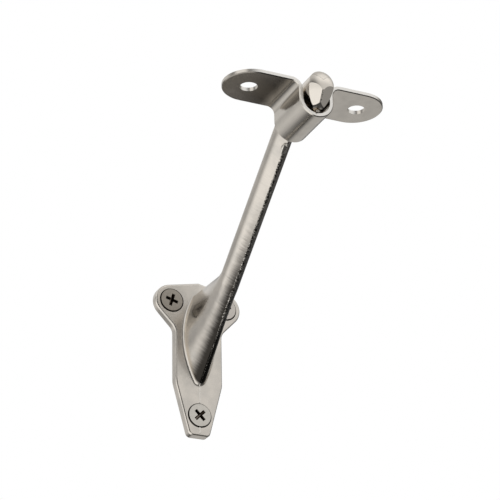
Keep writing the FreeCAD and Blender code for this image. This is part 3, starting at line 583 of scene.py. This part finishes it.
FLASH_START = -4.5 * MM       # the keel flash's two ends, in Y
FLASH_END = SADDLE_HIGH.y + 1.0 * MM
FLASH_STEPS = 260
FLASH_GROWING = 70            # steps over which it grows to its full size
FLASH_SEED = 11
# In mm: what its half width and its height start with and grow by, how ragged its sides are,
# how far its crest wanders, and how deep it is rooted.
FLASH_HALF, FLASH_HALF_GAIN = 0.16, 0.42
FLASH_PROUD, FLASH_PROUD_GAIN = 0.02, 0.13
FLASH_RAGGED = 0.12
FLASH_WANDER = 0.08
FLASH_ROOT = 0.22
# Its crest, in shares of its half width and its height.
SHOULDER_WIDTH, SHOULDER_HEIGHT = 0.55, 0.6
CREST_WIDTH = 0.3


def keel_flash():
    """The trimmed flash of the mould's parting line, along the keel of the arm."""
    chance = random.Random(FLASH_SEED)
    rings = []
    for number in range(FLASH_STEPS + 1):
        y = FLASH_START + (FLASH_END - FLASH_START) * number / FLASH_STEPS
        spot = drop((0, y, CLEAR), UP)
        if spot is None:
            continue
        grow = min(1, number / FLASH_GROWING)
        ragged = chance.uniform(-FLASH_RAGGED, FLASH_RAGGED)
        half = (FLASH_HALF + FLASH_HALF_GAIN * grow + ragged) * MM
        proud = (FLASH_PROUD + FLASH_PROUD_GAIN * grow * chance.random()) * MM
        wander = chance.uniform(-FLASH_WANDER, FLASH_WANDER) * MM
        root = spot - UNDER_ARM * FLASH_ROOT * MM
        crest = UNDER_ARM * proud
        rings.append([root + ACROSS * -half,
                      spot + crest * SHOULDER_HEIGHT + ACROSS * (wander - half * SHOULDER_WIDTH),
                      spot + crest + ACROSS * (wander + half * CREST_WIDTH),
                      root + ACROSS * half])
    piece("keel_flash", ribbon("keel_flash", rings), FLASH, crease=15)


BURR_Y = SADDLE_HIGH.y + 4.3 * MM
BURR_POINTS = 22
BURR_SEED = 3
BURR_SIZE = (0.6, 1.0)        # of its full reach, at random
# In mm: its half width, how far it sits to the left, half its length along the arm, and how
# far in and out of the casting its points lie.
BURR_HALF = 1.35
BURR_LEFT = 0.45
BURR_LONG = 2.3
BURR_OUT = (-0.6, 0.85)


def elbow_burr():
    """The torn stub of the mould gate, where the keel meets the strap."""
    chance = random.Random(BURR_SEED)
    spot = drop((0, BURR_Y, CLEAR), UP)
    form = bmesh.new()
    for number in range(BURR_POINTS):
        angle = math.tau * number / BURR_POINTS
        size = chance.uniform(*BURR_SIZE)
        across = BURR_HALF * math.cos(angle) * size - BURR_LEFT
        form.verts.new(spot + ACROSS * across * MM
                       + ALONG_ARM * BURR_LONG * math.sin(angle) * size * MM
                       + UNDER_ARM * chance.uniform(*BURR_OUT) * MM)
    wrap(form)
    mesh = bpy.data.meshes.new("elbow_burr")
    settle(form, mesh)
    piece("elbow_burr", mesh, BURR, crease=12)


SEAM_STEPS = 40
SEAM_SEED = 5
SEAM_FADING = 3               # steps over which each end rises
SEAM_HALF = 0.26              # half its width in mm, and how ragged that is
SEAM_RAGGED = 0.03
SEAM_TOP = 0.7                # its top, in shares of its width
SEAM_PROUD = 0.08 * MM
SEAM_ROOT = 0.1 * MM
PLATE_LAND = 27.9 * MM        # how far up and down the plate's flat face runs
UPPER_SEAM_FOOT = 24.2 * MM
SEAM_GAP = 0.2 * MM           # left between a seam and what it runs up to
ROOT_Y = -4.4 * MM            # just in front of the plate, where the root comes off it


def seam(name, low, high):
    """A fine raised parting line down the middle of the plate's face."""
    chance = random.Random(SEAM_SEED)
    rings = []
    for number in range(SEAM_STEPS + 1):
        spot = drop((0, CLEAR, low + (high - low) * number / SEAM_STEPS), INWARD)
        if spot is None:
            continue
        ends = min(1, number / SEAM_FADING, (SEAM_STEPS - number) / SEAM_FADING)
        half = (SEAM_HALF + chance.uniform(-SEAM_RAGGED, SEAM_RAGGED)) * MM
        proud = SEAM_PROUD * ends
        rings.append([spot + Vector((-half, SEAM_ROOT, 0)),
                      spot + Vector((-half * SEAM_TOP, -proud, 0)),
                      spot + Vector((half * SEAM_TOP, -proud, 0)),
                      spot + Vector((half, SEAM_ROOT, 0))])
    piece(name, ribbon(name, rings), SEAM, crease=60)


THREAD_CORE = 1.55 * MM
THREAD_CREST = 2.06 * MM
THREAD_PITCH = 1.7 * MM
THREAD_LENGTH = 22.4 * MM
THREAD_END = 0.9 * MM         # left bare at the point
POINT_TAPER = 4.0 * MM
TURN_STEPS = 36
THREAD_ROOTED = 0.93          # the ridge's root, in shares of the core
LEAST_CREST = 0.25            # of the crest's height, left on the point
RIDGE_FOOT = 0.42 * MM        # half the ridge's thickness at its root and at its crest
RIDGE_EDGE = 0.05 * MM


def thread(name):
    """The screw thread: a sharp ridge wound on the core, running out on the point."""
    low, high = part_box(name)
    centre = (low + high) / 2
    tip = high.y
    start = tip - THREAD_LENGTH
    turns = (tip - THREAD_END - start) / THREAD_PITCH
    rings = []
    for number in range(int(turns * TURN_STEPS) + 1):
        angle = math.tau * number / TURN_STEPS
        y = start + THREAD_PITCH * number / TURN_STEPS
        shrink = min(1, (tip - y) / POINT_TAPER)
        grow = min(1, number / TURN_STEPS)
        inner = THREAD_CORE * shrink * THREAD_ROOTED
        ridge = (THREAD_CREST - THREAD_CORE) * grow * max(shrink, LEAST_CREST)
        outer = THREAD_CORE * shrink + ridge
        out = Vector((math.cos(angle), 0, math.sin(angle)))
        base = Vector((centre.x, y, centre.z))
        rings.append([base + out * inner - INWARD * RIDGE_FOOT,
                      base + out * outer - INWARD * RIDGE_EDGE,
                      base + out * outer + INWARD * RIDGE_EDGE,
                      base + out * inner + INWARD * RIDGE_FOOT])
    label = name.replace("wall_screw", "thread")
    piece(label, ribbon(label, rings), SCREW[name], crease=25)


FLASH = flash_metal("flash_nickel", KEEL_TEAR)
BURR = flash_metal("burr_nickel", BURR_TEAR)
SEAM = seam_metal()
nose_front()
keel_flash()
elbow_burr()
ROOT_FOOT = drop((0, ROOT_Y, CLEAR), UP).z
LOWER_HEAD_LOW, LOWER_HEAD_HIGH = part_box("wall_screw_lower")
seam("seam_upper", UPPER_SEAM_FOOT, PLATE_LAND)
seam("seam_middle", LOWER_HEAD_HIGH.z + SEAM_GAP, ROOT_FOOT - SEAM_GAP)
seam("seam_lower", -PLATE_LAND, LOWER_HEAD_LOW.z - SEAM_GAP)
for name in SCREWS:
    thread(name)

# ---- stage ---------------------------------------------------------------------------------

WHITE = (1, 1, 1, 1)
# Soft openings through which the metal sees the white background: a direction, the degrees
# off it where the opening is full and where it ends, and its share of the white. Matt
# surfaces are lit by the same openings.
OPENINGS = (
    ((0.62, -0.70, 0.35), 24, 56, 0.63),
    ((-0.85, 0.05, -0.52), 30, 57, 1.0),
    ((-0.42, -0.56, -0.71), 14, 36, 1.0),
    ((-0.79, -0.40, 0.42), 10, 30, 0.75),
    ((0.0, 0.0, 1.0), 30, 72, 0.54),
    ((-0.39, 0.82, 0.42), 16, 48, 0.42),
    ((-0.50, 0.80, -0.33), 12, 38, 0.15),
    ((0.52, 0.80, -0.26), 17, 33, 0.42),
    ((0.93, 0.24, -0.28), 10, 34, 0.03),
    ((0.30, 0.36, -0.88), 8, 26, 0.45),
)
DARK_CARDS = 0.035            # what the metal sees between the openings


def studio_world():
    """White to the camera; to the metal, white in the openings and dark between them."""
    world = bpy.data.worlds.new("studio")
    world.use_nodes = True
    bpy.context.scene.world = world
    graph = Graph(world.node_tree)
    ray = graph.add("ShaderNodeTexCoord").outputs["Generated"]
    total = DARK_CARDS
    for direction, full, end, share in OPENINGS:
        towards = graph.dot(ray, Vector(direction).normalized())
        glow = graph.ramp(towards, math.cos(math.radians(end)), math.cos(math.radians(full)),
                          0.0, share)
        total = graph.math("ADD", glow, total)
    total = graph.math("MINIMUM", total, 1.0)
    path = graph.add("ShaderNodeLightPath").outputs
    mirror = graph.math("MAXIMUM", path["Is Glossy Ray"], path["Is Transmission Ray"])
    card = graph.mix(mirror, total, DARK_CARDS)
    studio = graph.add("ShaderNodeBackground", ("Strength", card)).outputs[0]
    plain = graph.add("ShaderNodeBackground", ("Color", WHITE), ("Strength", 1.0)).outputs[0]
    white = graph.math("MAXIMUM", path["Is Camera Ray"], graph.times(mirror, total))
    graph.add("ShaderNodeOutputWorld", ("Surface", graph.blend(white, studio, plain)))


CAMERA_AZIMUTH = math.radians(-25.52)
CAMERA_HEIGHT = math.radians(-25.13)
CAMERA_ROLL = math.radians(-1.19)
CAMERA_TARGET = Vector((6.3, -32.9, 30.0)) * MM
CAMERA_DISTANCE = 688.9 * MM
CAMERA_LENS = 144             # in mm, as is the sensor
CAMERA_SENSOR = 36
CAMERA_NEAR = 0.01
TO_CAMERA = Vector((math.sin(CAMERA_AZIMUTH) * math.cos(CAMERA_HEIGHT),
                    -math.cos(CAMERA_AZIMUTH) * math.cos(CAMERA_HEIGHT),
                    math.sin(CAMERA_HEIGHT)))
EYE = CAMERA_TARGET + TO_CAMERA * CAMERA_DISTANCE
TAB_HALF = 3.0 * MM
TAB_LEVEL = 0.05 * MM         # just behind the wall's face
TAB_STEPS = 12                # sides of each rounded end


def wall_card():
    """White tabs at the wall's face, one over each shank as the main view sees it.

    They stand in for the wall. Only the camera sees them, and only from the front.
    """
    form = bmesh.new()
    for name in SCREWS:
        low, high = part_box(name)
        tip = Vector(((low.x + high.x) / 2, high.y, (low.z + high.z) / 2))
        head = Vector((tip.x, TAB_LEVEL, tip.z))
        over_tip = tip.lerp(EYE, (TAB_LEVEL - tip.y) / (EYE.y - tip.y))
        turn = math.atan2(over_tip.z - head.z, over_tip.x - head.x)
        rim = []
        for base, start in ((over_tip, turn - math.pi / 2), (head, turn + math.pi / 2)):
            for step in range(TAB_STEPS + 1):
                angle = start + math.pi * step / TAB_STEPS
                out = Vector((math.cos(angle), 0, math.sin(angle)))
                rim.append(form.verts.new(base + out * TAB_HALF))
        form.faces.new(rim)
    form.normal_update()
    for face in form.faces:
        if face.normal.y > 0:
            face.normal_flip()
    mesh = bpy.data.meshes.new("wall_card")
    form.to_mesh(mesh)
    form.free()
    add_object("wall_card", mesh)
    material, graph = new_material("wall_card_white")
    seen = graph.add("ShaderNodeLightPath").outputs["Is Camera Ray"]
    behind = graph.add("ShaderNodeNewGeometry").outputs["Backfacing"]
    front = graph.times(seen, graph.math("SUBTRACT", 1.0, behind))
    clear = graph.add("ShaderNodeBsdfTransparent").outputs[0]
    white = graph.add("ShaderNodeEmission", ("Color", WHITE), ("Strength", 1.0)).outputs[0]
    graph.add("ShaderNodeOutputMaterial", ("Surface", graph.blend(front, clear, white)))
    mesh.materials.append(material)


FLOOR_LEVEL = -1200 * MM      # low enough to leave the views from below clear
FLOOR_HALF = 8.0
FLOOR_TONES = ((0.82, 0.82, 0.81, 1), (0.86, 0.86, 0.85, 1))


def floor():
    """A pale matt floor, which the metal doesn't mirror."""
    mesh = bpy.data.meshes.new("floor")
    corners = [(x * FLOOR_HALF, y * FLOOR_HALF, 0)
               for x, y in ((-1, -1), (1, -1), (1, 1), (-1, 1))]
    mesh.from_pydata(corners, [], [(0, 1, 2, 3)])
    plane = add_object("floor", mesh)
    plane.matrix_world = Matrix.Translation((0, 0, FLOOR_LEVEL))
    material, graph = new_material("floor_pale")
    tone = graph.tint(graph.noise(graph.place(), scale=3.0), *FLOOR_TONES)
    matte = graph.add("ShaderNodeBsdfDiffuse", ("Color", tone)).outputs[0]
    graph.add("ShaderNodeOutputMaterial", ("Surface", matte))
    mesh.materials.append(material)
    plane.visible_glossy = False


def camera():
    """The photograph's viewing angle: from below, a little to the left."""
    level = Vector((math.cos(CAMERA_AZIMUTH), math.sin(CAMERA_AZIMUTH), 0))
    upright = TO_CAMERA.cross(level)
    right = level * math.cos(CAMERA_ROLL) + upright * math.sin(CAMERA_ROLL)
    up = TO_CAMERA.cross(right)
    lens = bpy.data.cameras.new("camera")
    lens.lens = CAMERA_LENS
    lens.sensor_width = CAMERA_SENSOR
    lens.clip_start = CAMERA_NEAR
    eye = add_object("camera", lens)
    turn = Matrix((right, up, TO_CAMERA)).transposed().to_4x4()
    eye.matrix_world = Matrix.Translation(EYE) @ turn
    bpy.context.scene.camera = eye


studio_world()
wall_card()
floor()
camera()
bpy.context.scene.view_settings.view_transform = "Standard"
